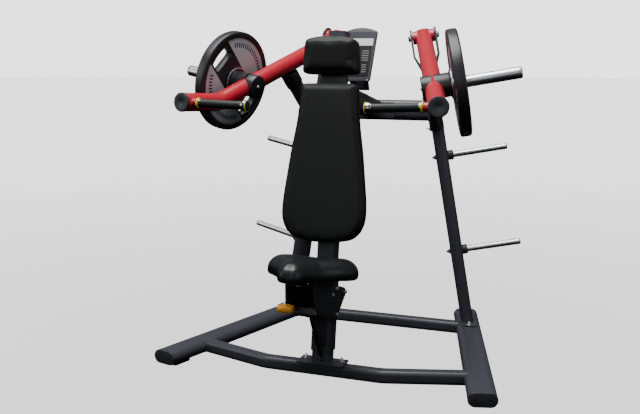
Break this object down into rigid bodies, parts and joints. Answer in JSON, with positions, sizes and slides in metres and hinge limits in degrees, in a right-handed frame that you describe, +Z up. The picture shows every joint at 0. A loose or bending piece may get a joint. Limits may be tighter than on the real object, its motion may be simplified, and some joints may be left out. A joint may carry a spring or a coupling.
{
  "type": "chest press machine",
  "caption": "Plate-loaded seated press machine with two independent splayed red arms, an adjustable seat on a leaning column, and plate storage horns.",
  "frame": {"origin": "on the floor, under the centre of the bounding box", "axes": "+Z up; the user sits facing -Y; X = 0 is the mirror plane of the frame, with the seat lever on the -X side"},
  "size_m": [1.562, 1.4846, 1.5355],
  "materials": {
    "frame_paint": "charcoal powder coat, semi-gloss",
    "red_paint": "glossy red powder coat",
    "chrome": "polished",
    "zinc": "zinc-plated",
    "leather": "fine-grained black upholstery",
    "plastic": "fine matt",
    "rubber": "matt",
    "board": "moulded pad back",
    "orange": "moulded"
  },
  "bodies": {
    "frame": {"arm_stop_left": "frame_paint", "arm_stop_right": "frame_paint", "backrest_board": "board", "backrest_pad": "leather", "base_rail_left": "frame_paint", "base_rail_right": "frame_paint", "foot_front_left": "rubber", "foot_front_right": "rubber", "foot_rear_left": "rubber", "foot_rear_right": "rubber", "front_cross_bar": "frame_paint", "guide_sleeve": "plastic", "headrest_pad": "leather", "main_column": "frame_paint", "pad_carrier": "frame_paint", "pivot_fork_left": "frame_paint", "pivot_fork_right": "frame_paint", "pivot_pin_left": "zinc", "pivot_pin_right": "zinc", "placard_board": "plastic", "placard_post": "frame_paint", "rail_cap_front_left": "plastic", "rail_cap_front_right": "plastic", "rail_cap_rear_left": "plastic", "rail_cap_rear_right": "plastic", "rear_cross_bar": "frame_paint", "spine_tube": "frame_paint", "stop_bumper_left": "rubber", "stop_bumper_right": "rubber", "storage_collar_lower_left": "plastic", "storage_collar_lower_right": "plastic", "storage_collar_upper_left": "plastic", "storage_collar_upper_right": "plastic", "storage_horn_lower_left": "chrome", "storage_horn_lower_right": "chrome", "storage_horn_upper_left": "chrome", "storage_horn_upper_right": "chrome", "top_cross_beam": "frame_paint", "upright_left": "frame_paint", "upright_right": "frame_paint"},
    "left_arm": {"arm_left": "red_paint", "arm_cap_left": "plastic", "hub_left": "frame_paint", "weight_horn_left": "chrome", "handle_left": "chrome", "grip_left": "rubber"},
    "left_plate": {"weight_plate_left": "rubber"},
    "right_arm": {"arm_right": "red_paint", "arm_cap_right": "plastic", "hub_right": "frame_paint", "weight_horn_right": "chrome", "handle_right": "chrome", "grip_right": "rubber"},
    "right_plate": {"weight_plate_right": "rubber"},
    "seat": {"seat_pad": "leather", "seat_carriage": "frame_paint"},
    "lever": {"seat_lever": "zinc", "lever_knob": "orange"},
    "gas_cylinder": {"gas_cylinder": "plastic"},
    "gas_rod": {"gas_rod": "chrome"}
  },
  "joints": [
    {"name": "left_arm_hinge", "type": "hinge", "parent": "frame", "child": "left_arm", "pos_m": [-0.22318, 0.46915, 1.4852], "axis": [-0.9537, 0.2467, 0.1719], "range_deg": [0, 45]},
    {"name": "right_arm_hinge", "type": "hinge", "parent": "frame", "child": "right_arm", "pos_m": [0.22318, 0.46915, 1.4852], "axis": [-0.9537, -0.2467, -0.1719], "range_deg": [0, 45]},
    {"name": "left_plate_slide", "type": "slide", "parent": "left_arm", "child": "left_plate", "axis": [-0.9537, 0.2467, 0.1719], "range_m": [0, 0.2]},
    {"name": "right_plate_slide", "type": "slide", "parent": "right_arm", "child": "right_plate", "axis": [0.9537, 0.2467, 0.1719], "range_m": [0, 0.2]},
    {"name": "seat_slide", "type": "slide", "parent": "frame", "child": "seat", "axis": [0, 0.1461, 0.9893], "range_m": [-0.08, 0.03]},
    {"name": "lever_hinge", "type": "hinge", "parent": "seat", "child": "lever", "pos_m": [0, -0.4625, 0.428], "axis": [-1, 0, 0], "range_deg": [0, 12]},
    {"name": "gas_cylinder_hinge", "type": "hinge", "parent": "frame", "child": "gas_cylinder", "pos_m": [0.018, -0.3885, 0.108], "axis": [-1, 0, 0], "range_deg": [-6.8, 2.8]},
    {"name": "gas_rod_slide", "type": "slide", "parent": "gas_cylinder", "child": "gas_rod", "axis": [-0.1051, -0.307, 0.9459], "range_m": [-0.0715, 0.0275]}
  ],
  "couplings": [
    {"joint": "gas_cylinder_hinge", "follows": "seat_slide", "rad_per_m": 1.42},
    {"joint": "gas_rod_slide", "follows": "seat_slide", "ratio": 0.88}
  ]
}
